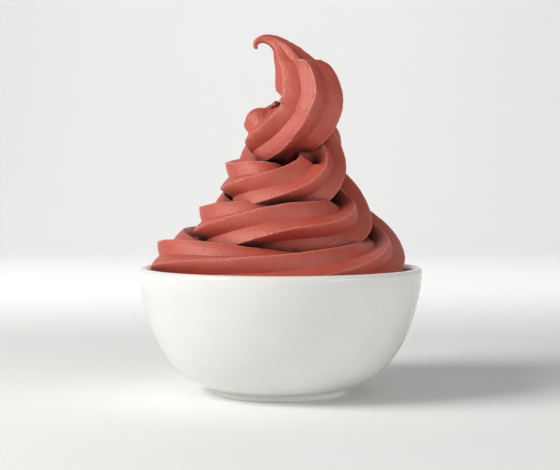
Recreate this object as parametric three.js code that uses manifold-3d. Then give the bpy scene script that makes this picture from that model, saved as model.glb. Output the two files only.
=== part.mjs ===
// A round ceramic bowl on a foot ring, filled with a tall swirl of frozen yogurt.
//
// Millimetres, +Z up, the foot of the bowl stands on z = 0 and its centre is on the Z axis.
// The front of the bowl is towards -Y, and +X is to the right as seen from the front.
//
// Two solids: the bowl, turned from one closed profile, and the frozen yogurt, one piped mass.
// The yogurt is made as a machine pipes it. A star shaped strand runs round and round in a coil
// that rises and narrows, and a last, separate strand stands on it, leans over and ends in a
// thin curled tip. The nozzle never turns while the strand is laid down, so the ridges of the
// star keep their compass directions: they run along the strand at the front and at the back,
// and they point outwards, one over the other, at the sides.

import * as THREE from "three";
import { ParametricGeometry } from "three/addons/geometries/ParametricGeometry.js";
import { mergeVertices } from "three/addons/utils/BufferGeometryUtils.js";
import Module from "manifold-3d";

// ---------------------------------------------------------------- driving dimensions

// Bowl: 130 across the rim, 58 tall, wall about 4, on a foot ring 62 across.
const TURNED_SIDES = 48;
const LIP_RADIUS = 2.05;
const LIP_CENTRE = [63.05, 56.05];
const OUTSIDE_WALL = [
  [32.4, 3.4],
  [37.9, 5],
  [44.5, 9],
  [49.9, 14],
  [54.2, 20],
  [58.0, 27],
  [61.0, 35],
  [63.3, 44],
  [64.7, 51],
  [65.1, 56.05],
];
const INSIDE_WALL = [
  [61.0, 56.05],
  [60.7, 51],
  [59.4, 44],
  [57.0, 35],
  [53.9, 27],
  [49.9, 20.5],
  [44.6, 15],
  [37.0, 10.6],
  [26.0, 8],
  [13.0, 7],
  [0, 6.7],
];
const FOOT_RING = [
  [0, 2.6],
  [26.4, 2.4],
  [27.4, 0.5],
  [28.2, 0],
  [30.0, 0],
  [30.8, 0.6],
  [31.2, 2.4],
];
const OUTSIDE_STEPS = 12;
const LIP_STEPS = 5;
const INSIDE_STEPS = 10;

// Star section of the strand: six ridges with sharp crests, and valleys nearly as sharp.
const RIDGES = 6;
const RIDGE_STEP = 360 / RIDGES;
const SHARES_OF_A_STEP = [0, 0.2, 0.5, 0.8];
const CREST_SHARPNESS = 1.12;
const COIL_VALLEY = 0.7;

// The coil, one row a quarter turn. Turn 0 is at the left, 0.25 at the front, 0.5 at the right
// and 0.75 at the back. Each row gives the turn, the distance of the strand from the axis, its
// height, the radius over its crests, the direction of its star in degrees, and how far the
// axis has moved to the right. The first four rows lie hidden in the bowl.
const COIL = [
  [-1.25, 34.0, 38.0, 12.0, 20, 0.0],
  [-1.0, 40.0, 37.0, 13.0, 20, 0.0],
  [-0.75, 41.5, 36.0, 13.0, 34, 0.0],
  [-0.5, 42.0, 45.0, 13.0, 46, 0.0],
  [-0.25, 47.0, 64.0, 13.0, 8, 0.5],
  [0.0, 48.0, 60.6, 13.2, 18, 1.0],
  [0.25, 38.0, 54.5, 14.0, 35, 2.5],
  [0.5, 40.0, 61.5, 13.0, 45, 4.5],
  [0.75, 41.5, 84.0, 13.5, 8, 5.0],
  [1.0, 32.0, 75.8, 13.5, 18, 5.0],
  [1.25, 21.5, 76.0, 13.5, 35, 2.5],
  [1.5, 24.0, 77.0, 15.0, 45, 3.5],
  [1.75, 26.5, 103.0, 14.5, 8, 2.5],
  [2.0, 17.5, 94.5, 13.5, 18, 4.0],
  [2.25, 10.0, 92.5, 14.0, 35, 5.0],
  [2.5, 10.5, 102.0, 13.5, 45, 6.5],
  [2.75, 11.5, 117.5, 14.0, 8, 8.0],
  [3.0, 9.0, 117.0, 12.0, 18, 6.5],
];
const STATIONS_A_QUARTER = 6;
const DIRECTION_CHORD = 0.02;
const COIL_END_ROUNDING = 0.12;
const LEAST_FROM_AXIS = 1.2;

// Dents of the coil, and bulges where the share is negative. Each row gives the share of the
// radius at the deepest point, the turn and the width in turns, the direction round the strand
// in degrees, and how narrow the dent is round the strand. The first is the deep hollow under
// the top strand, the second the swelling at the right back.
const COIL_DENTS = [
  [0.9, 2.475, 0.06, 256, 12],
  [-0.3, 2.67, 0.08, 5, 4],
];

// The top strand with its curled tip: place of its middle, radius over the crests, direction of
// its star, its tilt to the right and its lean away in degrees, and the share of the radius in
// its valleys. It starts in a rounded end at the back left, and from the shoulder row on it is
// drawn out into a thin tip that curls over to the left.
const TOP_STRAND = [
  [-8.7, 7.0, 114.7, 13.2, 62, 52, -33, 0.72],
  [0.7, 1.1, 121.1, 14.4, 63, 55, -30, 0.72],
  [9.6, -2.9, 125.3, 15.2, 40, 47, -20, 0.73],
  [13.1, -4.2, 130.5, 16.5, 31, 17, -6, 0.73],
  [13.5, -4.0, 136.2, 15.9, 38, 0, 0, 0.74],
  [12.4, -3.0, 142.2, 14.7, 41, -6, 2, 0.74],
  [11.0, -2.2, 147.4, 13.4, 41, -5, 2, 0.74],
  [9.6, -1.8, 150.2, 12.7, 41, -3, 0, 0.75],
  [7.8, -1.8, 152.2, 11.4, 41, -2, 0, 0.76],
  [3.7, -1.2, 156.2, 7.3, 44, -10, 0, 0.78],
  [1.0, -0.9, 158.9, 5.0, 47, -19, 0, 0.8],
  [-1.6, -0.6, 160.8, 3.7, 47, -32, 0, 0.82],
  [-4.2, -0.3, 162.1, 2.8, 47, -49, 0, 0.84],
  [-8.2, 0.0, 162.6, 1.9, 47, -80, 0, 0.86],
  [-11.1, 0.0, 160.9, 1.5, 47, -120, 0, 0.88],
  [-11.5, 0.0, 158.4, 1.1, 47, -165, 0, 0.88],
];
const SHOULDER_ROW = 8;
const START_ROUNDING = 0.35;
const BODY_STATIONS_A_ROW = 4;
const TIP_STATIONS_A_ROW = 2;
const TIP_ROUNDING = 0.5;

// Dents of the top strand, counted in its rows: its start is rounder, its inner side is torn
// away above the start, and the neck is fuller on the left.
const TOP_DENTS = [
  [0.15, 0.0, 0.7, 178, 3],
  [0.3, 1.5, 1.4, 165, 3],
  [-0.075, 5.4, 2.0, 158, 3],
];

// At the shoulder the right front of the strand steps over by this much, and the step fades
// out within a row of the tip.
const SHOULDER_SHIFT = new THREE.Vector3(-3.0, 1.2, 0);
const SHOULDER_DIRECTION = 318;
const SHOULDER_FADE_ROWS = 1.2;

// Round lobe of the torn start, and the small lumps of torn yogurt behind it, by place and
// radius.
const LOBE = [-10.0, 2.4, 125.1, 7.0];
const LOBE_SIDES = 12;
const TORN_LUMPS = [
  [-6.2, 4.2, 129.3, 2.3],
  [-4.5, 3.4, 130.9, 2.1],
  [-1.9, 4.0, 132.2, 2.3],
];
const LUMP_SIDES = 8;

// Smallest step forward of every line of the top strand, so that its inner side folds into a
// crease at the bend.
const LEAST_STEP = 0.12;

// The yogurt under and inside the coil is solid: a core that follows the axis of the coil,
// given by radius, height and distance to the right and away, and a filling that rests in the
// bowl.
const CORE = [
  [0, 30, 0, 0],
  [40, 34, 0, 0],
  [40, 50, 0, 0],
  [33, 58, 1, 0],
  [26, 66, 2, 0],
  [19, 76, 3, 0],
  [13, 86, 3.5, 0],
  [8, 94, 4.5, 0],
  [5, 99, 5.5, 2],
  [5.5, 104, 5, 7],
  [6, 107, 5.5, 7.5],
  [6.5, 109.5, 6.5, 5.5],
  [4, 114, 6.5, 6],
  [0, 119, 7.5, 6],
];
const CORE_SIDES = 20;
const WALL_CLEARANCE = 0.35;
const FILLING_TOP = 43.5;
const FILLING_CROWN = [
  [50, 44.6],
  [30, 46],
  [0, 46],
];

const BOWL_WHITE = 0xe9eae5;
const YOGURT_RED = 0xbf5f50;

// ---------------------------------------------------------------- curves

const radians = THREE.MathUtils.degToRad;

// Smooth curve through the rows of a table whose rows are evenly spaced, at a place counted in
// rows from the first one. Every column is drawn through in the same way.
function glide(rows, place) {
  const last = rows.length - 1;
  const i = Math.min(Math.max(Math.floor(place), 0), last - 1);
  const f = place - i;
  return rows[i].map((b, column) => {
    const c = rows[i + 1][column];
    const a = i > 0 ? rows[i - 1][column] : 2 * b - c;
    const d = i + 2 <= last ? rows[i + 2][column] : 2 * c - b;
    const cubic = 3 * (b - c) + d - a;
    return b + 0.5 * f * (c - a + f * (2 * a - 5 * b + 4 * c - d + f * cubic));
  });
}

// Share of the full radius at a share of the way through a rounded end.
function rounded(share) {
  const rest = 1 - Math.min(Math.max(share, 0), 1);
  return Math.sqrt(1 - rest * rest);
}

// ---------------------------------------------------------------- star section and rings

// Angle of a point of the star, counted from its first crest.
function starAngle(i, turn) {
  const shares = SHARES_OF_A_STEP.length;
  return radians(turn + (Math.floor(i / shares) + SHARES_OF_A_STEP[i % shares]) * RIDGE_STEP);
}

// One ring of a strand: the star laid round a centre in the plane of two directions.
function starRing(centre, across, up, radius, turn, valley) {
  const points = [];
  for (let i = 0; i < RIDGES * SHARES_OF_A_STEP.length; i++) {
    const share = SHARES_OF_A_STEP[i % SHARES_OF_A_STEP.length];
    const height = Math.abs(1 - 2 * share) ** CREST_SHARPNESS;
    const reach = radius * (valley + (1 - valley) * height);
    const angle = starAngle(i, turn);
    const point = centre.clone();
    point.addScaledVector(across, reach * Math.cos(angle));
    point.addScaledVector(up, reach * Math.sin(angle));
    points.push(point);
  }
  return { centre, points };
}

// Draws one side of a ring in towards its middle, or out from it for a negative share.
function press(ring, starTurn, place, dents) {
  for (const [deepest, middle, width, direction, narrowness] of dents) {
    const nearness = Math.max(1 - ((place - middle) / width) ** 2, 0) ** 2;
    ring.points.forEach((point, i) => {
      const facing = Math.max(Math.cos(starAngle(i, starTurn - direction)), 0) ** narrowness;
      point.lerp(ring.centre, deepest * nearness * facing);
    });
  }
}

// Closed body of a strand between its first and its last ring, capped at both.
function strandBody(rings) {
  const around = rings[0].points.length;
  const along = rings.length + 1;
  const surface = (u, v, target) => {
    const row = Math.round(v * along);
    if (row === 0) {
      target.copy(rings[0].centre);
    } else if (row === along) {
      target.copy(rings[rings.length - 1].centre);
    } else {
      target.copy(rings[row - 1].points[Math.round(u * around) % around]);
    }
  };
  return new ParametricGeometry(surface, around, along);
}

// ---------------------------------------------------------------- the coil

const FIRST_TURN = COIL[0][0];
const LAST_TURN = COIL[COIL.length - 1][0];

function coilRow(turn) {
  return glide(COIL, (turn - FIRST_TURN) * 4);
}

function coilCentre(turn) {
  const [, distance, height, , , shift] = coilRow(turn);
  const angle = Math.PI * (1 + 2 * turn);
  return new THREE.Vector3(distance * Math.cos(angle) + shift, distance * Math.sin(angle), height);
}

function coilRing(turn) {
  const [, , , radius, starTurn, shift] = coilRow(turn);
  const centre = coilCentre(turn);
  const ahead = coilCentre(Math.min(turn + DIRECTION_CHORD, LAST_TURN));
  const behind = coilCentre(Math.max(turn - DIRECTION_CHORD, FIRST_TURN));
  const along = ahead.sub(behind).normalize();
  // The two directions of the nozzle, X and Y, tipped over with the strand and not turned.
  const fold = 1 / (1 + along.z);
  const lean = new THREE.Vector3(along.x, along.y, along.z + 1);
  const across = new THREE.Vector3(1, 0, 0).addScaledVector(lean, -along.x * fold);
  const up = new THREE.Vector3(0, 1, 0).addScaledVector(lean, -along.y * fold);
  const size = radius * rounded((LAST_TURN - turn) / COIL_END_ROUNDING);
  const ring = starRing(centre, across, up, size, starTurn, COIL_VALLEY);
  press(ring, starTurn, turn, COIL_DENTS);
  // Where the coil is tight, the inner side of the strand stops short of the axis.
  const outwards = new THREE.Vector3(centre.x - shift, centre.y, 0).normalize();
  for (const point of ring.points) {
    const distance = (point.x - shift) * outwards.x + point.y * outwards.y;
    point.addScaledVector(outwards, Math.max(LEAST_FROM_AXIS - distance, 0));
  }
  return ring;
}

// The coil as quarter turns that share their end rings.
function coilBodies() {
  const quarters = COIL.length - 1;
  const bodies = [];
  for (let quarter = 0; quarter < quarters; quarter++) {
    const rings = [];
    for (let step = 0; step <= STATIONS_A_QUARTER; step++) {
      const turn = FIRST_TURN + (quarter + step / STATIONS_A_QUARTER) / 4;
      rings.push(coilRing(turn));
    }
    bodies.push(strandBody(rings));
  }
  return bodies;
}

// ---------------------------------------------------------------- the top strand and its tip

function topRing(place, share) {
  const [x, y, z, radius, turn, right, away, valley] = glide(TOP_STRAND, place);
  const a = radians(right);
  const b = radians(away);
  const along = new THREE.Vector3(Math.sin(a) * Math.cos(b), Math.sin(b), Math.cos(a) * Math.cos(b));
  const across = new THREE.Vector3(Math.cos(a), 0, -Math.sin(a));
  const up = new THREE.Vector3().crossVectors(along, across);
  const ring = starRing(new THREE.Vector3(x, y, z), across, up, radius * share, turn, valley);
  ring.along = along;
  press(ring, turn, place, TOP_DENTS);
  return ring;
}

// One ring of the tip, a number of rows above the shoulder.
function tipRing(above) {
  const ring = topRing(SHOULDER_ROW + above, 1);
  const turn = glide(TOP_STRAND, SHOULDER_ROW + above)[4];
  const fade = Math.max(1 - above / SHOULDER_FADE_ROWS, 0);
  ring.points.forEach((point, i) => {
    const facing = Math.max(Math.cos(starAngle(i, turn - SHOULDER_DIRECTION)), 0) ** 2;
    point.addScaledVector(SHOULDER_SHIFT, fade * facing);
  });
  return ring;
}

function topBody() {
  const rings = [];
  for (let step = 1; step <= BODY_STATIONS_A_ROW; step++) {
    const way = 1 - Math.cos((step / BODY_STATIONS_A_ROW) * (Math.PI / 2));
    rings.push(topRing(START_ROUNDING * (2 * way - 1), rounded(way)));
  }
  const bodySteps = SHOULDER_ROW * BODY_STATIONS_A_ROW;
  for (let step = 1; step <= bodySteps; step++) {
    rings.push(topRing(START_ROUNDING + ((SHOULDER_ROW - START_ROUNDING) * step) / bodySteps, 1));
  }
  const tipRows = TOP_STRAND.length - 1 - SHOULDER_ROW;
  const tipSteps = tipRows * TIP_STATIONS_A_ROW;
  for (let step = 0; step <= tipSteps; step++) {
    rings.push(tipRing((tipRows * step) / tipSteps));
  }
  // Every line of the strand keeps moving forward, so its inner side never folds back.
  for (let i = 1; i < rings.length; i++) {
    const forward = rings[i].along.clone().add(rings[i - 1].along).normalize();
    rings[i].points.forEach((point, j) => {
      const step = point.clone().sub(rings[i - 1].points[j]).dot(forward);
      point.addScaledVector(forward, Math.max(LEAST_STEP - step, 0));
    });
  }
  rings[0].centre = new THREE.Vector3(...glide(TOP_STRAND, -START_ROUNDING));
  const end = rings[rings.length - 1];
  end.centre = end.centre.clone().addScaledVector(end.along, TIP_ROUNDING);
  return strandBody(rings);
}

function lumpBody([x, y, z, radius], sides) {
  return new THREE.SphereGeometry(radius, sides, sides / 2 + 1).translate(x, y, z);
}

function lumpBodies() {
  return [lumpBody(LOBE, LOBE_SIDES), ...TORN_LUMPS.map((lump) => lumpBody(lump, LUMP_SIDES))];
}

// ---------------------------------------------------------------- core, filling and bowl

function coreBody() {
  const surface = (u, v, target) => {
    const [radius, height, right, away] = CORE[Math.round(v * (CORE.length - 1))];
    const angle = 2 * Math.PI * (Math.round(u * CORE_SIDES) % CORE_SIDES) / CORE_SIDES;
    target.set(radius * Math.cos(angle) + right, radius * Math.sin(angle) + away, height);
  };
  return new ParametricGeometry(surface, CORE_SIDES, CORE.length - 1);
}

function curveThrough(rows, steps) {
  const curve = new THREE.SplineCurve(rows.map((row) => new THREE.Vector2(...row)));
  return curve.getPoints(steps);
}

// A body turned round the upright axis from a profile of radius and height.
function turned(profile) {
  const body = new THREE.LatheGeometry(profile, TURNED_SIDES);
  return body.rotateX(Math.PI / 2);
}

function bowlBody() {
  const profile = FOOT_RING.map((row) => new THREE.Vector2(...row));
  profile.push(...curveThrough(OUTSIDE_WALL, OUTSIDE_STEPS));
  for (let step = 1; step < LIP_STEPS; step++) {
    const angle = (Math.PI * step) / LIP_STEPS;
    const x = LIP_CENTRE[0] + LIP_RADIUS * Math.cos(angle);
    profile.push(new THREE.Vector2(x, LIP_CENTRE[1] + LIP_RADIUS * Math.sin(angle)));
  }
  profile.push(...curveThrough(INSIDE_WALL, INSIDE_STEPS));
  return turned(profile);
}

// The filling follows the inside of the bowl at a small clearance, and has a low crown.
function fillingBody() {
  const wall = curveThrough(INSIDE_WALL, INSIDE_STEPS).reverse();
  const profile = [new THREE.Vector2(0, wall[0].y + WALL_CLEARANCE)];
  for (let i = 1; wall[i + 1].y < FILLING_TOP; i++) {
    const slope = wall[i + 1].clone().sub(wall[i - 1]).normalize();
    const x = wall[i].x - slope.y * WALL_CLEARANCE;
    profile.push(new THREE.Vector2(x, wall[i].y + slope.x * WALL_CLEARANCE));
  }
  profile.push(...FILLING_CROWN.map((row) => new THREE.Vector2(...row)));
  return turned(profile);
}

// ---------------------------------------------------------------- joining

const wasm = await Module();
wasm.setup();

function toSolid(geometry) {
  geometry.deleteAttribute("normal");
  geometry.deleteAttribute("uv");
  const merged = mergeVertices(geometry, 1e-4);
  const mesh = new wasm.Mesh({
    numProp: 3,
    vertProperties: merged.attributes.position.array,
    triVerts: new Uint32Array(merged.index.array),
  });
  const solid = new wasm.Manifold(mesh);
  if (solid.volume() <= 0) {
    throw new Error("a body faces inwards");
  }
  return solid;
}

function toGeometry(solid) {
  const { vertProperties, triVerts, numProp } = solid.getMesh();
  const geometry = new THREE.BufferGeometry();
  geometry.setAttribute("position", new THREE.BufferAttribute(vertProperties, numProp));
  geometry.setIndex(new THREE.BufferAttribute(triVerts, 1));
  geometry.computeVertexNormals();
  return geometry;
}

// The joined yogurt is its one outer skin: whatever is sealed inside is yogurt too.
function outerSkin(solid) {
  const pieces = solid.decompose();
  pieces.sort((one, other) => other.volume() - one.volume());
  return pieces[0];
}

const bodies = [...coilBodies(), topBody(), ...lumpBodies(), coreBody(), fillingBody()];
const yogurt = bodies.map(toSolid).reduce((whole, piece) => whole.add(piece));

function namedMesh(name, geometry, colour, roughness) {
  const mesh = new THREE.Mesh(geometry, new THREE.MeshStandardMaterial({ color: colour, roughness }));
  mesh.name = name;
  return mesh;
}

const part = new THREE.Group();
part.name = "frozen_yogurt_bowl";
part.add(namedMesh("bowl", bowlBody(), BOWL_WHITE, 0.25));
part.add(namedMesh("frozen_yogurt", toGeometry(outerSkin(yogurt)), YOGURT_RED, 0.8));

export default part;
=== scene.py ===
# %% [markdown]
# # A bowl of frozen yogurt
#
# The object is a white glazed bowl on a foot ring, filled with a tall swirl of frozen yogurt.
# The solids of the part come in first as a fixed frame. They give the true size and place of
# everything, in metres, with the foot of the bowl on z = 0 and the front towards -Y.
#
# A dressed model could be sculpted freely, but then it would drift away from the solids that
# carry its weight. Here each shape is made again from the same named sizes, only finer, so what
# shows stays where the frame has it. Hidden in the bowl, the finer filling follows the wall
# higher up than the solid's does.

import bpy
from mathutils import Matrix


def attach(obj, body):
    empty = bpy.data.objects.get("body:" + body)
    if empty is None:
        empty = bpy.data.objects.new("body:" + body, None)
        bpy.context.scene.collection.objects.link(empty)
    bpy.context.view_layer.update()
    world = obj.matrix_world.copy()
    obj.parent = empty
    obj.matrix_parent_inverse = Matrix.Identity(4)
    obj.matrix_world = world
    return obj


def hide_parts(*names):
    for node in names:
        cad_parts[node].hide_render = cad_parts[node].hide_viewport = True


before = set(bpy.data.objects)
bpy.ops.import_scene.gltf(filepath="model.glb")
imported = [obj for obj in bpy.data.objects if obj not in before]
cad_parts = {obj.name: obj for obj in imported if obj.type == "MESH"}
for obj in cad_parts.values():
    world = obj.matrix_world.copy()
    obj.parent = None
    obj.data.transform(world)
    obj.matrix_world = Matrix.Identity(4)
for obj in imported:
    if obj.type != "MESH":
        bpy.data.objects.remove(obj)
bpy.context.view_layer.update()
print("solids in the frame:", sorted(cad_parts))

# %% Libraries, and one unit
import math

import bmesh
import bpy
from mathutils import Vector, noise

MM = 0.001
scene = bpy.context.scene

# %% [markdown]
# ## Camera
#
# The viewer sits in front of the bowl, about 60 cm away, with the eye a little above the middle
# of the swirl and looking slightly down. A long lens at that distance keeps the rim a narrow
# ellipse. A camera could be turned towards its target by a constraint. One rotation is enough
# here, because it only tips down.

# %% Camera
EYE = Vector((-0.24, -600.0, 96.0)) * MM
AIM_HEIGHT = 72.7 * MM
FOCAL_LENGTH = 83.76

view = bpy.data.cameras.new("view")
view.lens = FOCAL_LENGTH
view.sensor_width = 36.0
camera = bpy.data.objects.new("camera", view)
scene.collection.objects.link(camera)
camera.location = EYE
look_down = math.atan2(EYE.z - AIM_HEIGHT, -EYE.y)
camera.rotation_euler = (math.radians(90) - look_down, 0, 0)
scene.camera = camera
print("camera looks down by", round(math.degrees(look_down), 2), "degrees")

# %% [markdown]
# ## Floor and light
#
# Food is lit softly. One broad light at the upper left models the ridges, a low one at the right
# and a pale room fill the shadows, and one light of its own keeps the backdrop bright. The floor
# is a wide sheet that curves up far behind the bowl, so there is no horizon line. It is made by
# pulling one bent line sideways, which keeps it one smooth surface.

# %% Floor that curves up into a backdrop
FLOOR_HALF_WIDTH = 9.0
FLOOR_FRONT = -9.0
BACKDROP_START = 1.2
BACKDROP_RADIUS = 1.0
BACKDROP_HEIGHT = 2.5
BACKDROP_STEPS = 12


def plain_material(name, colour, roughness):
    """A material with one even colour, for the stage."""
    material = bpy.data.materials.new(name)
    material.use_nodes = True
    shader = material.node_tree.nodes["Principled BSDF"]
    shader.inputs["Base Color"].default_value = (*colour, 1)
    shader.inputs["Roughness"].default_value = roughness
    return material


def link_mesh(name, mesh):
    """Turns a bmesh into an object of the scene."""
    data = bpy.data.meshes.new(name)
    mesh.to_mesh(data)
    mesh.free()
    made = bpy.data.objects.new(name, data)
    scene.collection.objects.link(made)
    return made


sheet = bmesh.new()
sheet_line = [Vector((-FLOOR_HALF_WIDTH, y, 0)) for y in (FLOOR_FRONT, BACKDROP_START)]
for step in range(1, BACKDROP_STEPS + 1):
    bend = math.radians(90) * step / BACKDROP_STEPS
    sheet_line.append(Vector((
        -FLOOR_HALF_WIDTH,
        BACKDROP_START + BACKDROP_RADIUS * math.sin(bend),
        BACKDROP_RADIUS * (1 - math.cos(bend)),
    )))
sheet_line.append(sheet_line[-1] + Vector((0, 0, BACKDROP_HEIGHT)))
line_verts = [sheet.verts.new(place) for place in sheet_line]
line_edges = [sheet.edges.new(pair) for pair in zip(line_verts, line_verts[1:])]
wide = bmesh.ops.extrude_edge_only(sheet, edges=line_edges)["geom"]
far_verts = [item for item in wide if isinstance(item, bmesh.types.BMVert)]
bmesh.ops.translate(sheet, verts=far_verts, vec=(2 * FLOOR_HALF_WIDTH, 0, 0))
for face in sheet.faces:
    face.smooth = True
floor = link_mesh("floor", sheet)
floor.data.materials.append(plain_material("pale floor", (0.94, 0.94, 0.93), 0.9))
print("floor faces:", len(floor.data.polygons))

# %% Lights


def soft_light(name, place, size, power, colour=(1, 1, 1), target=(0, 0, 0.09)):
    """A square soft box at a place, turned towards a target, by default the swirl."""
    data = bpy.data.lights.new(name, "AREA")
    data.shape = "SQUARE"
    data.size = size
    data.energy = power
    data.color = colour
    lamp = bpy.data.objects.new(name, data)
    scene.collection.objects.link(lamp)
    lamp.location = place
    towards = Vector(target) - Vector(place)
    lamp.rotation_euler = towards.to_track_quat("-Z", "Y").to_euler()
    return lamp


soft_light("key light", (-1.1, -0.52, 0.8), 0.7, 19.5, (1.0, 0.985, 0.97))
soft_light("top light", (-0.4, -0.1, 1.25), 0.9, 1.0)
soft_light("fill light", (0.95, -0.9, 0.06), 1.0, 10.5)
soft_light("backdrop light", (0.0, 0.8, 1.2), 2.0, 14.0, (1, 1, 1), (0.0, 2.2, 0.5))
room = bpy.data.worlds.new("room")
room.use_nodes = True
room.node_tree.nodes["Background"].inputs["Color"].default_value = (1.0, 1.0, 1.0, 1)
room.node_tree.nodes["Background"].inputs["Strength"].default_value = 0.17
scene.world = room
scene.view_settings.view_transform = "Standard"

# %% [markdown]
# ## How the strand is piped
#
# A soft serve machine pushes the yogurt through a star shaped nozzle with six points. The bowl
# is moved round under it, and the nozzle itself never turns. So the strand isn't twisted, and
# the ridges keep their compass directions: they run along the strand at the front and back, and
# stick out sideways at the left and right.
#
# The coil is described by one row for each quarter turn, and the values between the rows are
# read from a smooth curve through them. The alternative is a curve object with a bevel profile,
# but Blender would twist the profile along the curve in its own way.

# %% Sizes of the coil, in millimetres
# turn, distance from the axis, height, radius over the ridges, direction of the star in
# degrees, shift of the axis to the right
COIL = [
    (-1.25, 34.0, 38.0, 12.0, 20, 0.0),
    (-1.0, 40.0, 37.0, 13.0, 20, 0.0),
    (-0.75, 41.5, 36.0, 13.0, 34, 0.0),
    (-0.5, 42.0, 45.0, 13.0, 46, 0.0),
    (-0.25, 47.0, 64.0, 13.0, 8, 0.5),
    (0.0, 48.0, 60.6, 13.2, 18, 1.0),
    (0.25, 38.0, 54.5, 14.0, 35, 2.5),
    (0.5, 40.0, 61.5, 13.0, 45, 4.5),
    (0.75, 41.5, 84.0, 13.5, 8, 5.0),
    (1.0, 32.0, 75.8, 13.5, 18, 5.0),
    (1.25, 21.5, 76.0, 13.5, 35, 2.5),
    (1.5, 24.0, 77.0, 15.0, 45, 3.5),
    (1.75, 26.5, 103.0, 14.5, 8, 2.5),
    (2.0, 17.5, 94.5, 13.5, 18, 4.0),
    (2.25, 10.0, 92.5, 14.0, 35, 5.0),
    (2.5, 10.5, 102.0, 13.5, 45, 6.5),
    (2.75, 11.5, 117.5, 14.0, 8, 8.0),
    (3.0, 9.0, 117.0, 12.0, 18, 6.5),
]
FIRST_TURN = COIL[0][0]
LAST_TURN = COIL[-1][0]


def glide(rows, place):
    """Values at a place, counted in rows, on a smooth curve through evenly spaced rows."""
    last = len(rows) - 1
    i = min(max(math.floor(place), 0), last - 1)
    f = place - i
    values = []
    for column, (b, c) in enumerate(zip(rows[i], rows[i + 1])):
        a = rows[i - 1][column] if i > 0 else 2 * b - c
        d = rows[i + 2][column] if i + 2 <= last else 2 * c - b
        cubic = 3 * (b - c) + d - a
        values.append(b + 0.5 * f * (c - a + f * (2 * a - 5 * b + 4 * c - d + f * cubic)))
    return values


def coil_centre(turn):
    """Middle of the strand, in millimetres."""
    _, distance, height, _, _, shift = glide(COIL, (turn - FIRST_TURN) * 4)
    angle = math.pi * (1 + 2 * turn)
    return Vector((distance * math.cos(angle) + shift, distance * math.sin(angle), height))


print("the coil makes", LAST_TURN - FIRST_TURN, "turns, and ends", coil_centre(LAST_TURN).z, "mm up")

# %% [markdown]
# ## The star
#
# Each point of the star is a crest, and between two crests lies a valley, at 0.7 of the crest's
# distance on the coil and a little shallower on the top strand. The share of the way from one
# crest to the next is cut finest beside the crest, so that the crest stays sharp.

# %% Star section
RIDGES = 6
CREST_SHARPNESS = 1.12
COIL_VALLEY = 0.7
HALF_STEPS = (0.0, 0.02, 0.05, 0.1, 0.17, 0.25, 0.33, 0.42)
SHARES = HALF_STEPS + (0.5,) + tuple(1 - share for share in reversed(HALF_STEPS[1:]))
AROUND = RIDGES * len(SHARES)
STAR = [(ridge, share) for ridge in range(RIDGES) for share in SHARES]


def crest_height(share):
    """1 on a crest and 0 in the middle of a valley."""
    return abs(1 - 2 * share) ** CREST_SHARPNESS


print("points round the strand:", AROUND)

# %% [markdown]
# ## Small unevenness
#
# Piped yogurt is never a clean extrusion. It swells and thins a little, has a fine grain, and the
# crests tear in short nicks where they are thinnest. These are small moves of the surface along
# the radius, read from a fixed noise, so they come out the same in every run.

# %% Relief of the piped surface
SWELL_MM = 0.16
SWELL_SIZE_MM = 9.0
NICK_MM = 0.45
NICK_SIZE_MM = 1.5
NICK_LEAST_CREST = 0.72
NICK_CREST_SPAN = 0.28
NICK_LEAST_NOISE = 0.12
GRAIN_MM = 0.045
GRAIN_SIZE_MM = 0.9


def relief(place, share):
    """How far the surface stands in or out at a place of the strand, in millimetres."""
    swell = SWELL_MM * noise.noise(place / SWELL_SIZE_MM)
    crest = max(crest_height(share) - NICK_LEAST_CREST, 0) / NICK_CREST_SPAN
    torn = max(noise.noise(place / NICK_SIZE_MM) - NICK_LEAST_NOISE, 0)
    grain = GRAIN_MM * noise.noise(place / GRAIN_SIZE_MM)
    return swell + grain - NICK_MM * crest * torn


def star_ring(centre, across, up, radius, turn, valley):
    """Places of one ring of the strand round its middle, in millimetres."""
    ring = []
    for ridge, share in STAR:
        reach = radius * (valley + (1 - valley) * crest_height(share))
        angle = math.radians(turn + (ridge + share) * 360 / RIDGES)
        outwards = math.cos(angle) * across + math.sin(angle) * up
        place = centre + reach * outwards
        ring.append(place + relief(place, share) * min(radius / 6, 1) * outwards)
    return ring


# %% Dents and bulges of a strand


def press(ring, centre, star_turn, place, dents):
    """Moves one side of a ring towards its middle, or away from it for a negative share."""
    for deepest, middle, width, direction, narrowness in dents:
        nearness = max(1 - ((place - middle) / width) ** 2, 0) ** 2
        for i, (ridge, share) in enumerate(STAR):
            angle = math.radians(star_turn + (ridge + share) * 360 / RIDGES - direction)
            facing = max(math.cos(angle), 0) ** narrowness
            ring[i] = ring[i].lerp(centre, deepest * nearness * facing)


# %% [markdown]
# ## From rings to a closed strand
#
# A strand starts as a flat grid. One side of the grid counts the points round the star and the
# other counts the stations along the strand. Rolling it up means moving each of its points to
# its place on its ring. The two long sides then meet and are merged, the ends are filled, and
# the end faces get a middle point. Skin or Screw modifiers make tubes too, but not one whose
# section stays put while the path turns.

# %% Roll a grid up into a strand


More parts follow.
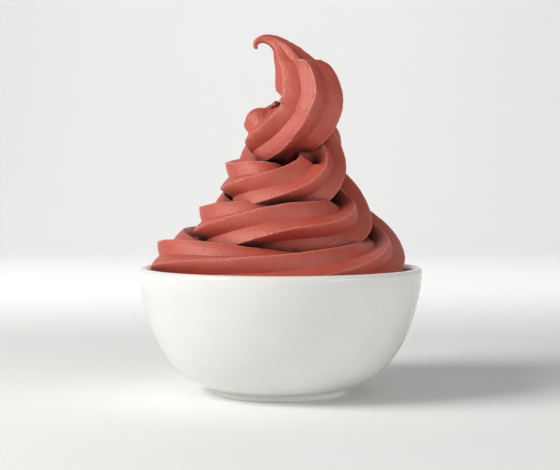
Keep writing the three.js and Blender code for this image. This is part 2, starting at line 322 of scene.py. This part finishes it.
def roll_up(name, rings, first_middle=None, last_middle=None):
    """A closed strand through a list of rings."""
    strand = bmesh.new()
    stations = len(rings)
    crest = strand.verts.layers.float.new("crest")
    grid = bmesh.ops.create_grid(strand, x_segments=AROUND, y_segments=stations - 1, size=1.0)
    for vert in grid["verts"]:
        column = round((vert.co.x + 1) / 2 * AROUND)
        row = round((vert.co.y + 1) / 2 * (stations - 1))
        vert.co = rings[row][column % AROUND] * MM
        vert[crest] = crest_height(STAR[column % AROUND][1])
    bmesh.ops.remove_doubles(strand, verts=strand.verts, dist=1e-6)
    for ring, middle in ((rings[0], first_middle), (rings[-1], last_middle)):
        open_edges = [edge for edge in strand.edges if edge.is_boundary]
        near = ring[0] * MM
        start = min(open_edges, key=lambda edge: (edge.verts[0].co - near).length)
        loop = [start]
        seen = {start}
        for edge in loop:
            for vert in edge.verts:
                for other in vert.link_edges:
                    if other.is_boundary and other not in seen:
                        seen.add(other)
                        loop.append(other)
        end_faces = bmesh.ops.holes_fill(strand, edges=loop, sides=0)["faces"]
        poked = bmesh.ops.poke(strand, faces=end_faces)["verts"]
        if middle is not None:
            poked[0].co = middle * MM
    bmesh.ops.recalc_face_normals(strand, faces=strand.faces)
    return link_mesh(name, strand)


# %% [markdown]
# ## The coil
#
# The direction of the strand comes from two near points on its path. The nozzle's X and Y are
# tipped over by the smallest turn that brings +Z onto that direction, and this keeps the star
# from twisting. Where the coil is tight, the inner side of the strand would reach past the axis
# and fold over, so it stops just short of it.
#
# Each turn presses into the one below it. A single sweep that runs through itself can't be
# joined cleanly, so the coil is made in quarter turns that share their end rings.

# %% Coil in quarter turns
STATIONS_A_QUARTER = 26
DIRECTION_CHORD = 0.02
COIL_END_ROUNDING = 0.12
LEAST_END_SHARE = 0.08
LEAST_FROM_AXIS = 1.2
# share of the radius, turn, width in turns, direction round the strand, narrowness
COIL_DENTS = [
    (0.9, 2.475, 0.06, 256, 12),
    (-0.3, 2.67, 0.08, 5, 4),
]


def rounded(share):
    """Share of the full radius at a share of the way through a rounded end."""
    rest = 1 - min(max(share, 0), 1)
    return math.sqrt(1 - rest * rest)


def coil_ring(turn):
    """One ring of the coil."""
    _, _, _, radius, star_turn, shift = glide(COIL, (turn - FIRST_TURN) * 4)
    centre = coil_centre(turn)
    ahead = coil_centre(min(turn + DIRECTION_CHORD, LAST_TURN))
    behind = coil_centre(max(turn - DIRECTION_CHORD, FIRST_TURN))
    along = (ahead - behind).normalized()
    upright = Vector((0, 0, 1))
    across = Vector((1, 0, 0)) - (along + upright) * along.x / (1 + along.z)
    up = Vector((0, 1, 0)) - (along + upright) * along.y / (1 + along.z)
    size = radius * max(rounded((LAST_TURN - turn) / COIL_END_ROUNDING), LEAST_END_SHARE)
    ring = star_ring(centre, across, up, size, star_turn, COIL_VALLEY)
    press(ring, centre, star_turn, turn, COIL_DENTS)
    outwards = Vector((centre.x - shift, centre.y, 0)).normalized()
    for point in ring:
        distance = (point.x - shift) * outwards.x + point.y * outwards.y
        point += outwards * max(LEAST_FROM_AXIS - distance, 0)
    return ring


strands = []
quarters = len(COIL) - 1
for quarter in range(quarters):
    shares = [step / STATIONS_A_QUARTER for step in range(STATIONS_A_QUARTER + 1)]
    rings = [coil_ring(FIRST_TURN + (quarter + share) / 4) for share in shares]
    strands.append(roll_up(f"coil_quarter_{quarter}", rings))
print("quarter turns:", len(strands))

# %% [markdown]
# ## The top strand and its curled tip
#
# The last strand was started again on top of the coil. It leaves a rounded, torn end at the back
# left, leans over to the right, stands up, and then the nozzle pulls away and draws it out into
# a thin tip that curls over to the left. Its rings have their own tilt, right and away, because
# it bends more sharply than its path alone would say. On the inner side of the bend the rings
# would cross, so every line of the strand has to keep moving forward, and that side folds into
# a crease, as it does in the real thing. A few dents shape the strand, and one side of its
# shoulder is shifted to the left where the tip begins.

# %% Sizes of the top strand, in millimetres and degrees
# x, y, z, radius over the ridges, direction of the star, tilt to the right, lean away,
# share of the radius in the valleys
TOP_STRAND = [
    (-8.7, 7.0, 114.7, 13.2, 62, 52, -33, 0.72),
    (0.7, 1.1, 121.1, 14.4, 63, 55, -30, 0.72),
    (9.6, -2.9, 125.3, 15.2, 40, 47, -20, 0.73),
    (13.1, -4.2, 130.5, 16.5, 31, 17, -6, 0.73),
    (13.5, -4.0, 136.2, 15.9, 38, 0, 0, 0.74),
    (12.4, -3.0, 142.2, 14.7, 41, -6, 2, 0.74),
    (11.0, -2.2, 147.4, 13.4, 41, -5, 2, 0.74),
    (9.6, -1.8, 150.2, 12.7, 41, -3, 0, 0.75),
    (7.8, -1.8, 152.2, 11.4, 41, -2, 0, 0.76),
    (3.7, -1.2, 156.2, 7.3, 44, -10, 0, 0.78),
    (1.0, -0.9, 158.9, 5.0, 47, -19, 0, 0.80),
    (-1.6, -0.6, 160.8, 3.7, 47, -32, 0, 0.82),
    (-4.2, -0.3, 162.1, 2.8, 47, -49, 0, 0.84),
    (-8.2, 0.0, 162.6, 1.9, 47, -80, 0, 0.86),
    (-11.1, 0.0, 160.9, 1.5, 47, -120, 0, 0.88),
    (-11.5, 0.0, 158.4, 1.1, 47, -165, 0, 0.88),
]
SHOULDER_ROW = 8
START_ROUNDING = 0.35
BODY_STATIONS_A_ROW = 20
TIP_STATIONS_A_ROW = 12
TIP_ROUNDING = 0.5
LEAST_STEP = 0.03
# share of the radius, row, width in rows, direction round the strand, narrowness
TOP_DENTS = [
    (0.15, 0.0, 0.7, 178, 3),
    (0.3, 1.5, 1.4, 165, 3),
    (-0.075, 5.4, 2.0, 158, 3),
]
SHOULDER_SHIFT = Vector((-3.0, 1.2, 0))
SHOULDER_DIRECTION = 318
SHOULDER_FADE_ROWS = 1.2


def top_ring(place, share=1):
    """One ring of the top strand, with the direction it faces and its middle."""
    x, y, z, radius, turn, right, away, valley = glide(TOP_STRAND, place)
    a = math.radians(right)
    b = math.radians(away)
    along = Vector((math.sin(a) * math.cos(b), math.sin(b), math.cos(a) * math.cos(b)))
    across = Vector((math.cos(a), 0, -math.sin(a)))
    centre = Vector((x, y, z))
    ring = star_ring(centre, across, along.cross(across), radius * share, turn, valley)
    press(ring, centre, turn, place, TOP_DENTS)
    return ring, along, centre


# %% Top strand in one sweep
stations = []
for step in range(1, BODY_STATIONS_A_ROW + 1):
    way = 1 - math.cos(math.radians(90) * step / BODY_STATIONS_A_ROW)
    stations.append(top_ring(START_ROUNDING * (2 * way - 1), rounded(way)))
body_steps = SHOULDER_ROW * BODY_STATIONS_A_ROW
for step in range(1, body_steps + 1):
    place = START_ROUNDING + (SHOULDER_ROW - START_ROUNDING) * step / body_steps
    stations.append(top_ring(place))
tip_rows = len(TOP_STRAND) - 1 - SHOULDER_ROW
tip_steps = tip_rows * TIP_STATIONS_A_ROW
for step in range(tip_steps + 1):
    above = tip_rows * step / tip_steps
    ring, along, centre = top_ring(SHOULDER_ROW + above)
    turn = glide(TOP_STRAND, SHOULDER_ROW + above)[4]
    strength = max(1 - above / SHOULDER_FADE_ROWS, 0)
    for i, (ridge, share) in enumerate(STAR):
        angle = math.radians(turn + (ridge + share) * 360 / RIDGES - SHOULDER_DIRECTION)
        ring[i] += SHOULDER_SHIFT * strength * max(math.cos(angle), 0) ** 2
    stations.append((ring, along, centre))
for (before, before_along, _), (ring, along, _) in zip(stations, stations[1:]):
    forward = (before_along + along).normalized()
    for i, point in enumerate(ring):
        moved = (point - before[i]).dot(forward)
        ring[i] = point + forward * max(LEAST_STEP - moved, 0)
start_middle = Vector(glide(TOP_STRAND, -START_ROUNDING)[:3])
tip_middle = stations[-1][2] + TIP_ROUNDING * stations[-1][1]
strands.append(roll_up("top_strand", [ring for ring, _, _ in stations], start_middle, tip_middle))
print("stations of the top strand:", len(stations))

# %% [markdown]
# ## Torn lumps, core and filling
#
# Where the strand was torn, a few lumps stand up. They are small spheres pushed out of round by
# noise. Under and inside the coil the yogurt is solid. A core follows the axis of the coil, and
# a filling lies in the bowl a little clear of its wall. Both are turned from a profile.

# %% Lumps
TORN_LUMPS = [
    (-10.0, 2.4, 125.1, 7.0),
    (-6.2, 4.2, 129.3, 2.3),
    (-4.5, 3.4, 130.9, 2.1),
    (-1.9, 4.0, 132.2, 2.3),
]
LUMP_NOISE_MM = 0.5
LUMP_NOISE_SCALE = 1.6
for index, (x, y, z, radius) in enumerate(TORN_LUMPS):
    elsewhere = Vector((index * 7.0, 0, 0))
    lump = bmesh.new()
    bmesh.ops.create_icosphere(lump, subdivisions=4, radius=radius)
    for vert in lump.verts:
        swell = noise.noise(vert.co / radius * LUMP_NOISE_SCALE + elsewhere)
        vert.co *= 1 + LUMP_NOISE_MM / radius * swell
    bmesh.ops.translate(lump, verts=lump.verts, vec=(x, y, z))
    bmesh.ops.scale(lump, verts=lump.verts, vec=(MM, MM, MM))
    strands.append(link_mesh(f"lump_{index}", lump))
print("lumps:", len(TORN_LUMPS))

# %% Turning a profile round the upright axis


def curve_through(rows, steps):
    """Points on a smooth curve through rows of radius and height."""
    spans = len(rows) - 1
    ends = [rows[0], *rows, rows[-1]]
    points = []
    for step in range(steps + 1):
        place = spans * step / steps
        i = min(int(place), spans - 1)
        f = place - i
        point = []
        for a, b, c, d in zip(*ends[i:i + 4]):
            v0 = (c - a) / 2
            v1 = (d - b) / 2
            cubic = 2 * b - 2 * c + v0 + v1
            square = 3 * c - 3 * b - 2 * v0 - v1
            point.append(cubic * f ** 3 + square * f ** 2 + v0 * f + b)
        points.append(point)
    return points


def turn_profile(name, profile, sides, shifts=None):
    """Spins a profile of radius and height round the Z axis, once round."""
    turned = bmesh.new()
    verts = [turned.verts.new((radius, 0, height)) for radius, height in profile]
    edges = [turned.edges.new(pair) for pair in zip(verts, verts[1:])]
    bmesh.ops.spin(
        turned,
        geom=verts + edges,
        cent=(0, 0, 0),
        axis=(0, 0, 1),
        angle=math.radians(360),
        steps=sides,
        use_merge=True,
    )
    bmesh.ops.remove_doubles(turned, verts=turned.verts, dist=1e-4)
    bmesh.ops.recalc_face_normals(turned, faces=turned.faces)
    if shifts is not None:
        heights = [height for _, height in profile]
        for vert in turned.verts:
            nearest = min(range(len(heights)), key=lambda i: abs(heights[i] - vert.co.z))
            right, away = shifts[nearest]
            vert.co.x += right
            vert.co.y += away
    bmesh.ops.scale(turned, verts=turned.verts, vec=(MM, MM, MM))
    return link_mesh(name, turned)


# %% Core and filling
CORE_SIDES = 40
FILLING_SIDES = 144
CORE = [
    (0, 30, 0, 0),
    (40, 34, 0, 0),
    (40, 50, 0, 0),
    (33, 58, 1, 0),
    (26, 66, 2, 0),
    (19, 76, 3, 0),
    (13, 86, 3.5, 0),
    (8, 94, 4.5, 0),
    (5, 99, 5.5, 2),
    (5.5, 104, 5, 7),
    (6, 107, 5.5, 7.5),
    (6.5, 109.5, 6.5, 5.5),
    (4, 114, 6.5, 6),
    (0, 119, 7.5, 6),
]
strands.append(turn_profile("core", [row[:2] for row in CORE], CORE_SIDES, [row[2:] for row in CORE]))

INSIDE_WALL = [
    (61.0, 56.05),
    (60.7, 51),
    (59.4, 44),
    (57.0, 35),
    (53.9, 27),
    (49.9, 20.5),
    (44.6, 15),
    (37.0, 10.6),
    (26.0, 8),
    (13.0, 7),
    (0, 6.7),
]
FILLING_STEPS = 60
WALL_CLEARANCE = 0.35
FILLING_TOP = 43.5
FILLING_CROWN = [(50, 44.6), (30, 46), (0, 46)]

wall = curve_through(INSIDE_WALL, FILLING_STEPS)[::-1]
filling = [(0, wall[0][1] + WALL_CLEARANCE)]
for i in range(1, len(wall) - 1):
    if wall[i + 1][1] >= FILLING_TOP:
        break
    slope = (Vector(wall[i + 1]) - Vector(wall[i - 1])).normalized()
    filling.append((wall[i][0] - slope.y * WALL_CLEARANCE, wall[i][1] + slope.x * WALL_CLEARANCE))
filling += FILLING_CROWN
strands.append(turn_profile("filling", filling, FILLING_SIDES))
print("bodies to join:", len(strands))

# %% [markdown]
# ## Joining
#
# The pieces are pressed together into one mass. A Boolean union keeps the crisp dark creases
# between the turns, which a voxel remesh would round off. What is sealed inside the union is
# yogurt too, so only its outer skin is kept. Faces that lie on each other are taken out. Points
# that only share a place are left apart, so the skin counts no open edge here but isn't a clean
# closed mesh once such points are merged. Last, the lobe beside the top strand is smoothed.

# %% Union, and its outer skin
LOBE_MIDDLE = Vector((-9.0, 1.5, 126.0)) * MM
LOBE_REACH = 8.5 * MM
LOBE_SMOOTHINGS = 25
SHARP_ANGLE = math.radians(38)

pressed = bpy.data.collections.new("pressed together")
for piece in strands[1:]:
    scene.collection.objects.unlink(piece)
    pressed.objects.link(piece)
yogurt = strands[0]
yogurt.name = "yogurt_swirl"
union = yogurt.modifiers.new("union", "BOOLEAN")
union.operation = "UNION"
union.operand_type = "COLLECTION"
union.collection = pressed
union.solver = "MANIFOLD"
graph = bpy.context.evaluated_depsgraph_get()
joined = bpy.data.meshes.new_from_object(yogurt.evaluated_get(graph))
yogurt.modifiers.clear()
yogurt.data = joined
yogurt.data.name = "yogurt_swirl"
for piece in strands[1:]:
    bpy.data.objects.remove(piece)
bpy.data.collections.remove(pressed)

skin = bmesh.new()
skin.from_mesh(yogurt.data)
print("union:", len(skin.verts), "points")
groups = []
left = set(skin.verts)
while left:
    group = [left.pop()]
    for vert in group:
        for edge in vert.link_edges:
            other = edge.other_vert(vert)
            if other in left:
                left.remove(other)
                group.append(other)
    groups.append(group)
groups.sort(key=len, reverse=True)
for group in groups[1:]:
    bmesh.ops.delete(skin, geom=group, context="VERTS")
bmesh.ops.triangulate(skin, faces=[face for face in skin.faces if len(face.verts) > 4])
same_points = {}
for face in skin.faces:
    same_points.setdefault(frozenset(face.verts), []).append(face)
flat_pairs = [face for faces in same_points.values() if len(faces) > 1 for face in faces]
bmesh.ops.delete(skin, geom=flat_pairs, context="FACES")
lobe = [vert for vert in skin.verts if (vert.co - LOBE_MIDDLE).length < LOBE_REACH]
for _ in range(LOBE_SMOOTHINGS):
    bmesh.ops.smooth_vert(skin, verts=lobe, factor=0.5, use_axis_x=True, use_axis_y=True, use_axis_z=True)
for face in skin.faces:
    face.smooth = True
for edge in skin.edges:
    edge.smooth = edge.calc_face_angle(0) < SHARP_ANGLE
open_edges = sum(1 for edge in skin.edges if not edge.is_manifold)
skin.to_mesh(yogurt.data)
skin.free()
print("pieces of skin:", len(groups), " faces kept:", len(yogurt.data.polygons), " open edges:", open_edges)

# %% [markdown]
# ## How open the surface is
#
# Deep between the ridges the colour of the yogurt is painted darker and redder. This is painted
# shade, for the little light that gets there after it has passed through yogurt. For each point
# of the skin a small fan of rays is sent out. The share that leaves freely is how open the place
# is, and it is kept as an attribute for the material, which paints the shade by it. The height
# over the valleys was kept as a second attribute when the strands were rolled up.

# %% Openness as an attribute
import numpy as np
from mathutils.bvhtree import BVHTree

FAN_RAYS = 14
FAN_REACH = 16 * MM
FAN_LIFT = 0.3 * MM
OPENNESS_SMOOTHINGS = 2
GOLDEN_TURN = math.pi * (3 - math.sqrt(5))

mesh = yogurt.data
tree = BVHTree.FromObject(yogurt, bpy.context.evaluated_depsgraph_get())
fan = []
for ray in range(FAN_RAYS):
    sine = math.sqrt((ray + 0.5) / FAN_RAYS)
    turn = ray * GOLDEN_TURN
    fan.append((sine * math.cos(turn), sine * math.sin(turn), math.sqrt(1 - sine * sine)))
openness = np.ones(len(mesh.vertices))
for i, vert in enumerate(mesh.vertices):
    normal = vert.normal
    side = normal.orthogonal().normalized()
    other = normal.cross(side)
    start = vert.co + normal * FAN_LIFT
    blocked = 0
    for x, y, z in fan:
        hit = tree.ray_cast(start, side * x + other * y + normal * z, FAN_REACH)[3]
        if hit is not None:
            blocked += 1 - hit / FAN_REACH
    openness[i] = 1 - blocked / FAN_RAYS
ends = np.array([edge.vertices[:] for edge in mesh.edges])
links_of_point = np.bincount(ends.ravel(), minlength=len(openness))
for _ in range(OPENNESS_SMOOTHINGS):
    total = np.bincount(ends[:, 0], openness[ends[:, 1]], len(openness))
    total += np.bincount(ends[:, 1], openness[ends[:, 0]], len(openness))
    openness = total / links_of_point
attribute = mesh.attributes.new("openness", "FLOAT", "POINT")
attribute.data.foreach_set("value", openness.astype(np.float32))
print("openness:", np.percentile(openness, (1, 10, 50, 90)).round(2))
print("kept on the mesh:", [item.name for item in mesh.attributes])

# %% [markdown]
# ## Yogurt material
#
# Frozen yogurt is matt, dense and a little translucent. Light that enters it comes out redder,
# which keeps the shaded sides deep and warm. Its surface has a fine grain from the ice crystals.

# %% Yogurt material
YOGURT_SPECULAR = 1.0
YOGURT_SPECULAR_TINT = (1, 0.93, 0.8, 1)
YOGURT_TRANSLUCENCY = 0.35
YOGURT_LIGHT_REACH = (1.0, 0.32, 0.22)
YOGURT_LIGHT_SCALE = 0.0022
BODY_COLOURS = [(0.3, (0.46, 0.059, 0.037)), (0.75, (0.52, 0.076, 0.049))]
BODY_PATCH_SCALE = 160
# Painted shade: colours that darken the yogurt towards near black where its skin is least open, in hollows
# and creases.
PAINTED_HOLLOW_SHADE_COLOURS = [
    (0.32, (0.07, 0.01, 0.01)),
    (0.52, (0.36, 0.18, 0.18)),
    (0.72, (0.82, 0.70, 0.70)),
    (0.90, (1.0, 1.0, 1.0)),
]
# Painted highlight: a lighter colour mixed in along the crests.
CREST_HIGHLIGHT_COLOUR = (0.76, 0.30, 0.21, 1)
CREST_HIGHLIGHT_SHARE = 0.30
CREST_HIGHLIGHT_FADE = (0.86, 0.98)
NEAR_CREST_FADE = (0.78, 0.97)
# Pale specks: partly ice crystals, partly painted glints on the torn crests.
SPECK_AND_GLINT_COLOUR = (0.78, 0.36, 0.27, 1)
SPECK_SCALE = 1700
SPECK_FADE = (0.55, 0.63)
SPECKS_WHERE_TORN = 0.55
SPECKS_ELSEWHERE = 0.05
TORN_SCALE = 420
TORN_FADE = (0.46, 0.60)
OPEN_ROUGHNESS = 0.48
HOLLOW_ROUGHNESS = 1.0
SHEEN_FADE = (0.40, 0.85)
GRAIN_SCALE = 1300
BUBBLE_SCALE = 420
BUBBLE_FADE = (0.10, 0.26)
BUBBLE_GROUP_SCALE = 230
BUBBLE_GROUP_FADE = (0.50, 0.60)
PIT_SHARE = 0.45
STREAK_SCALE = 900
STREAK_STRETCH = 0.15
STREAK_SHARE = 0.8
TORN_SHARE = 0.7
YOGURT_BUMP = (0.75, 0.0004)


def bumped(material, height_socket, strength, distance):
    """A bump node that turns a height into a normal for the shader."""
    nodes = material.node_tree.nodes
    bump = nodes.new("ShaderNodeBump")
    bump.inputs["Strength"].default_value = strength
    bump.inputs["Distance"].default_value = distance
    material.node_tree.links.new(height_socket, bump.inputs["Height"])
    return bump


def noise_node(material, place_socket, scale, detail, rough=0.5):
    """A noise texture read at a place."""
    node = material.node_tree.nodes.new("ShaderNodeTexNoise")
    node.inputs["Scale"].default_value = scale
    node.inputs["Detail"].default_value = detail
    node.inputs["Roughness"].default_value = rough
    material.node_tree.links.new(place_socket, node.inputs["Vector"])
    return node


frozen = bpy.data.materials.new("frozen yogurt")
frozen.use_nodes = True
links = frozen.node_tree.links
shader = frozen.node_tree.nodes["Principled BSDF"]
place = frozen.node_tree.nodes.new("ShaderNodeTexCoord").outputs["Object"]
shader.inputs["Specular IOR Level"].default_value = YOGURT_SPECULAR
shader.inputs["Specular Tint"].default_value = YOGURT_SPECULAR_TINT
shader.inputs["Subsurface Weight"].default_value = YOGURT_TRANSLUCENCY
shader.inputs["Subsurface Radius"].default_value = YOGURT_LIGHT_REACH
shader.inputs["Subsurface Scale"].default_value = YOGURT_LIGHT_SCALE


def ramp_node(material, value_socket, stops):
    """A colour ramp through (position, colour) stops."""
    node = material.node_tree.nodes.new("ShaderNodeValToRGB")
    ramp = node.color_ramp
    while len(ramp.elements) < len(stops):
        ramp.elements.new(0.5)
    for element, (position, colour) in zip(ramp.elements, stops):
        element.position = position
        element.color = (*colour, 1)
    material.node_tree.links.new(value_socket, node.inputs["Fac"])
    return node.outputs["Color"]


def mixed(material, blend, factor, first, second):
    """Mixes two colours. The factor is a number or a socket."""
    node = material.node_tree.nodes.new("ShaderNodeMix")
    node.data_type = "RGBA"
    node.blend_type = blend
    for index, value in ((0, factor), (6, first), (7, second)):
        socket = node.inputs[index]
        if isinstance(value, bpy.types.NodeSocket):
            material.node_tree.links.new(value, socket)
        else:
            socket.default_value = value
    return node.outputs[2]


def attribute_value(material, name):
    """Reads a number kept on the mesh."""
    node = material.node_tree.nodes.new("ShaderNodeAttribute")
    node.attribute_name = name
    return node.outputs["Fac"]


def number(material, operation, *values):
    """A math node. Each value is a number or a socket."""
    node = material.node_tree.nodes.new("ShaderNodeMath")
    node.operation = operation
    for socket, value in zip(node.inputs, values):
        if isinstance(value, bpy.types.NodeSocket):
            material.node_tree.links.new(value, socket)
        else:
            socket.default_value = value
    return node.outputs[0]


def fade(material, value_socket, low, high):
    """0 below low, 1 above high, and smooth between."""
    node = material.node_tree.nodes.new("ShaderNodeMapRange")
    node.interpolation_type = "SMOOTHSTEP"
    node.inputs["From Min"].default_value = low
    node.inputs["From Max"].default_value = high
    material.node_tree.links.new(value_socket, node.inputs["Value"])
    return node.outputs["Result"]


open_share = attribute_value(frozen, "openness")
crest_height_share = attribute_value(frozen, "crest")
# Painted highlight mask: high only along the crests.
crest = fade(frozen, crest_height_share, *CREST_HIGHLIGHT_FADE)
patches = noise_node(frozen, place, BODY_PATCH_SCALE, 3)
body_colour = ramp_node(frozen, patches.outputs["Fac"], BODY_COLOURS)
# Painted shade: the body colour is multiplied darker where the skin is least open.
painted_hollow_shade = ramp_node(frozen, open_share, PAINTED_HOLLOW_SHADE_COLOURS)
colour = mixed(frozen, "MULTIPLY", 1.0, body_colour, painted_hollow_shade)

# Pale specks are ice crystals, and, mostly where the skin tore along the crests, painted glints on the torn
# edges.
crystals = noise_node(frozen, place, SPECK_SCALE, 2, 0.6).outputs["Fac"]
specks = fade(frozen, crystals, *SPECK_FADE)
torn_line = noise_node(frozen, place, TORN_SCALE, 3, 0.7).outputs["Fac"]
near_crest = fade(frozen, crest_height_share, *NEAR_CREST_FADE)
torn = number(frozen, "MULTIPLY", near_crest, fade(frozen, torn_line, *TORN_FADE))
speck_density = number(frozen, "MULTIPLY_ADD", torn, SPECKS_WHERE_TORN, SPECKS_ELSEWHERE)
speck_and_glint_share = number(frozen, "MULTIPLY", specks, speck_density)
colour = mixed(frozen, "MIX", speck_and_glint_share, colour, SPECK_AND_GLINT_COLOUR)
# Painted highlight: the crests are mixed towards the lighter crest colour.
crest_highlight_share = number(frozen, "MULTIPLY", crest, CREST_HIGHLIGHT_SHARE)
colour = mixed(frozen, "MIX", crest_highlight_share, colour, CREST_HIGHLIGHT_COLOUR)
links.new(colour, shader.inputs["Base Color"])

# Open places keep a soft sheen. Hollows are fully rough, so they don't glint.
sheen = fade(frozen, open_share, *SHEEN_FADE)
roughness = number(frozen, "MULTIPLY_ADD", sheen, OPEN_ROUGHNESS - HOLLOW_ROUGHNESS, HOLLOW_ROUGHNESS)
links.new(roughness, shader.inputs["Roughness"])

# Four heights: a fine grain, small pits where air bubbles broke, faint upright streaks where
# the strand slid past the nozzle, and torn nicks on the crests.
grain = noise_node(frozen, place, GRAIN_SCALE, 4, 0.65).outputs["Fac"]
bubbles = frozen.node_tree.nodes.new("ShaderNodeTexVoronoi")
bubbles.inputs["Scale"].default_value = BUBBLE_SCALE
links.new(place, bubbles.inputs["Vector"])
pits = fade(frozen, bubbles.outputs["Distance"], *BUBBLE_FADE)
bubble_groups = noise_node(frozen, place, BUBBLE_GROUP_SCALE, 1).outputs["Fac"]
few = fade(frozen, bubble_groups, *BUBBLE_GROUP_FADE)
pit_depth = number(frozen, "MULTIPLY", few, PIT_SHARE)
pit_height = number(frozen, "MULTIPLY", number(frozen, "SUBTRACT", pits, 1.0), pit_depth)
stretch = frozen.node_tree.nodes.new("ShaderNodeVectorMath")
stretch.operation = "MULTIPLY"
stretch.inputs[1].default_value = (1, 1, STREAK_STRETCH)
links.new(place, stretch.inputs[0])
streaks = noise_node(frozen, stretch.outputs["Vector"], STREAK_SCALE, 2).outputs["Fac"]
height = number(frozen, "ADD", grain, pit_height)
height = number(frozen, "ADD", height, number(frozen, "MULTIPLY", streaks, STREAK_SHARE))
height = number(frozen, "SUBTRACT", height, number(frozen, "MULTIPLY", torn, TORN_SHARE))
bump = bumped(frozen, height, *YOGURT_BUMP)
links.new(bump.outputs["Normal"], shader.inputs["Normal"])
yogurt.data.materials.clear()
yogurt.data.materials.append(frozen)
print("yogurt material is on", yogurt.name)

# %% [markdown]
# ## Bowl
#
# The bowl is round, and is made here by spinning one profile: foot ring, outside wall, rounded
# lip, inside wall. The profile is the one of the solid, with more points, so that the rim stays
# round from close by.

# %% Bowl
OUTSIDE_WALL = [
    (32.4, 3.4),
    (37.9, 5),
    (44.5, 9),
    (49.9, 14),
    (54.2, 20),
    (58.0, 27),
    (61.0, 35),
    (63.3, 44),
    (64.7, 51),
    (65.1, 56.05),
]
FOOT_RING = [(0, 2.6), (26.4, 2.4), (27.4, 0.5), (28.2, 0), (30.0, 0), (30.8, 0.6), (31.2, 2.4)]
LIP_CENTRE = (63.05, 56.05)
LIP_RADIUS = 2.05
LIP_STEPS = 20
FOOT_STEPS = 48
WALL_STEPS = 64
BOWL_SIDES = 192

bowl_profile = curve_through(FOOT_RING, FOOT_STEPS) + curve_through(OUTSIDE_WALL, WALL_STEPS)
for step in range(1, LIP_STEPS):
    angle = math.pi * step / LIP_STEPS
    across = LIP_CENTRE[0] + LIP_RADIUS * math.cos(angle)
    bowl_profile.append((across, LIP_CENTRE[1] + LIP_RADIUS * math.sin(angle)))
bowl_profile += curve_through(INSIDE_WALL, WALL_STEPS)
bowl_profile = [(across, max(up, 0.0)) for across, up in bowl_profile]
bowl = turn_profile("glazed_bowl", bowl_profile, BOWL_SIDES)
for face in bowl.data.polygons:
    face.use_smooth = True
print("bowl faces:", len(bowl.data.polygons))

# %% [markdown]
# ## Glaze
#
# The glaze is a thin clear glass over white clay. It is smooth and reflects the room, with very
# slow waves where it ran. In the lowest few millimetres its colour turns a little greener, where
# the glaze is thin over the clay, and paler, as painted light that lifts the shaded foot.

# %% Glaze material
GLAZE_ROUGHNESS = 0.16
GLAZE_SPECULAR = 0.5
GLAZE_TRANSLUCENCY = 0.3
GLAZE_LIGHT_REACH = (1.0, 0.95, 0.85)
GLAZE_LIGHT_SCALE = 0.008
GLAZE_COLOURS = [(0.35, (0.745, 0.75, 0.725)), (0.7, (0.77, 0.77, 0.75))]
MOTTLE_SCALE = 70
# Painted light: paler than the glaze, to lift the shaded foot, and a little greener for the thin glaze.
FOOT_TINT_AND_PAINTED_LIGHT = (0.86, 0.87, 0.80, 1)
FOOT_FADE = (0.0012, 0.0042)
WAVE_SCALE = 45
GLAZE_BUMP = (0.12, 0.0012)

glaze = bpy.data.materials.new("white glaze")
glaze.use_nodes = True
links = glaze.node_tree.links
shader = glaze.node_tree.nodes["Principled BSDF"]
place = glaze.node_tree.nodes.new("ShaderNodeTexCoord").outputs["Object"]
shader.inputs["Roughness"].default_value = GLAZE_ROUGHNESS
shader.inputs["Subsurface Weight"].default_value = GLAZE_TRANSLUCENCY
shader.inputs["Subsurface Radius"].default_value = GLAZE_LIGHT_REACH
shader.inputs["Subsurface Scale"].default_value = GLAZE_LIGHT_SCALE
height_up = glaze.node_tree.nodes.new("ShaderNodeSeparateXYZ")
links.new(place, height_up.inputs["Vector"])
thick = fade(glaze, height_up.outputs["Z"], *FOOT_FADE)
mottle = noise_node(glaze, place, MOTTLE_SCALE, 3).outputs["Fac"]
white = ramp_node(glaze, mottle, GLAZE_COLOURS)
# The foot is greener, for its thin glaze, and paler as painted light on its shade.
glaze_colour = mixed(glaze, "MIX", thick, FOOT_TINT_AND_PAINTED_LIGHT, white)
links.new(glaze_colour, shader.inputs["Base Color"])
shader.inputs["Specular IOR Level"].default_value = GLAZE_SPECULAR
waves = noise_node(glaze, place, WAVE_SCALE, 2)
bump = bumped(glaze, waves.outputs["Fac"], *GLAZE_BUMP)
links.new(bump.outputs["Normal"], shader.inputs["Normal"])
bowl.data.materials.append(glaze)

# %% Put the pieces on the frame
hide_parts("frozen_yogurt")
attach(yogurt, "root")
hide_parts("bowl")
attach(bowl, "root")
